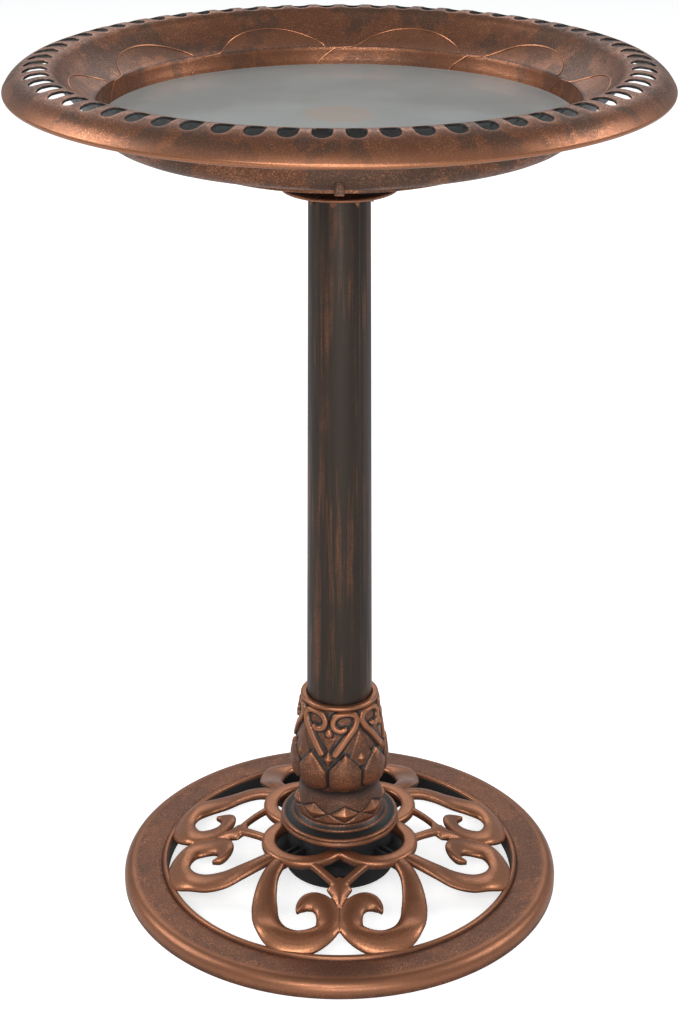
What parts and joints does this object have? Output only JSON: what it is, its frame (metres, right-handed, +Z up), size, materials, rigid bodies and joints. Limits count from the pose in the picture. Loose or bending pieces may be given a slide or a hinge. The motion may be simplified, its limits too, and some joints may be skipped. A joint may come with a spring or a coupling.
{
  "type": "bird bath",
  "caption": "Pedestal bird bath: shallow bowl with a pierced rim on a tapered post, lotus collar and open foot of heart scrolls; the bowl turns and lifts off.",
  "frame": {"origin": "centre of the footprint on the ground", "axes": "+Z up along the post, front towards -Y, +X to the right seen from the front"},
  "size_m": [0.5, 0.5, 0.711],
  "materials": {
    "antique_copper": "dark brown moulding rubbed with copper paint",
    "gunmetal_post": "dark moulding brushed with copper",
    "black_moulding": "plain black moulding",
    "zinc_steel": "zinc plated",
    "nylon": "dark nylon"
  },
  "bodies": {
    "stand": {"base_ring": "antique_copper", "heart_scroll_front": "antique_copper", "heart_scroll_right": "antique_copper", "heart_scroll_back": "antique_copper", "heart_scroll_left": "antique_copper", "lobed_ring": "antique_copper", "hub_spokes": "black_moulding", "hub_drum": "black_moulding", "hub_cover": "black_moulding", "lotus_collar": "antique_copper", "post": "gunmetal_post", "top_cap": "antique_copper", "tie_rod": "zinc_steel", "tie_nuts": "zinc_steel", "tie_washers": "zinc_steel"},
    "turning_seat": {"seat_ring": "nylon"},
    "dish": {"bowl_socket": "black_moulding", "socket_screws": "zinc_steel", "bowl": "antique_copper"}
  },
  "joints": [
    {"name": "bowl_turn", "type": "hinge", "parent": "stand", "child": "turning_seat", "pos_m": [0, 0, 0.619], "axis": [0, 0, 1], "continuous": true},
    {"name": "bowl_lift", "type": "slide", "parent": "turning_seat", "child": "dish", "axis": [0, 0, 1], "range_m": [0, 0.06]}
  ]
}
